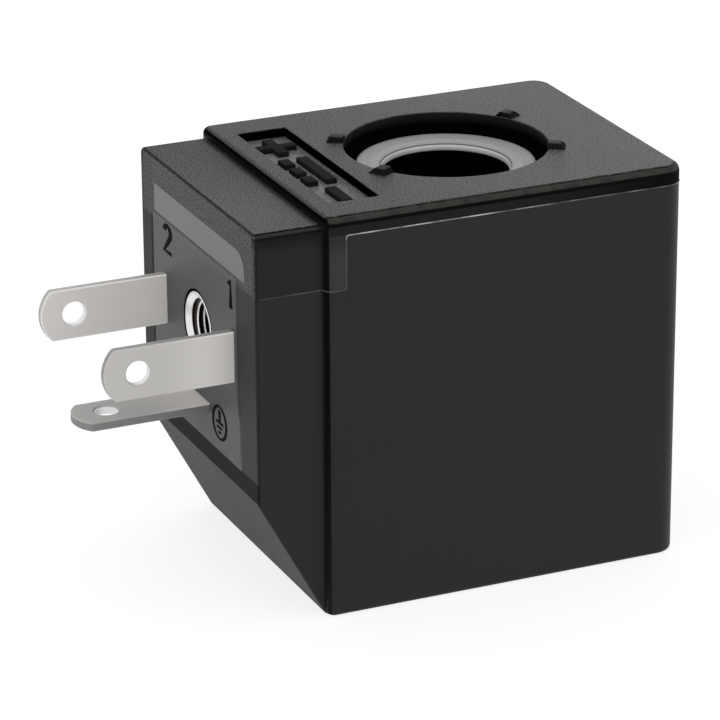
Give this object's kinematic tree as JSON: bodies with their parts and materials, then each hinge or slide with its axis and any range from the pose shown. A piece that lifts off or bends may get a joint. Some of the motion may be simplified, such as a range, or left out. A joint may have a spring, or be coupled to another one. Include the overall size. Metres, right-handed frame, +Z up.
{
  "type": "solenoid valve coil",
  "caption": "Encapsulated solenoid coil: black moulded block with a through bore for the valve tube and a side connector of flat blades round a threaded insert.",
  "frame": {"origin": "on the bore axis, at the seating face of the foot", "axes": "+Z up along the bore, -X towards the connector, +X towards the plain end"},
  "size_m": [0.0313, 0.0168, 0.0223],
  "materials": {
    "case_plastic": "satin sides and spark-eroded top",
    "plated_steel": "zinc plated",
    "bobbin_plastic": "glass-filled, matt",
    "copper_wire": "enamelled copper",
    "tape_film": "film tape",
    "tinned_blade": "tin plated, satin",
    "plated_brass": "nickel plated",
    "solder": "bright"
  },
  "bodies": {
    "root": {"moulded_case": "case_plastic", "yoke_frame": "plated_steel", "upper_flux_sleeve": "plated_steel", "lower_flux_sleeve": "plated_steel", "bobbin": "bobbin_plastic", "copper_winding": "copper_wire", "winding_tape": "tape_film", "terminal_blade_1": "tinned_blade", "terminal_blade_2": "tinned_blade", "earth_blade": "tinned_blade", "screw_insert": "plated_brass", "start_lead": "copper_wire", "finish_lead": "copper_wire", "solder_joints": "solder"}
  },
  "joints": []
}
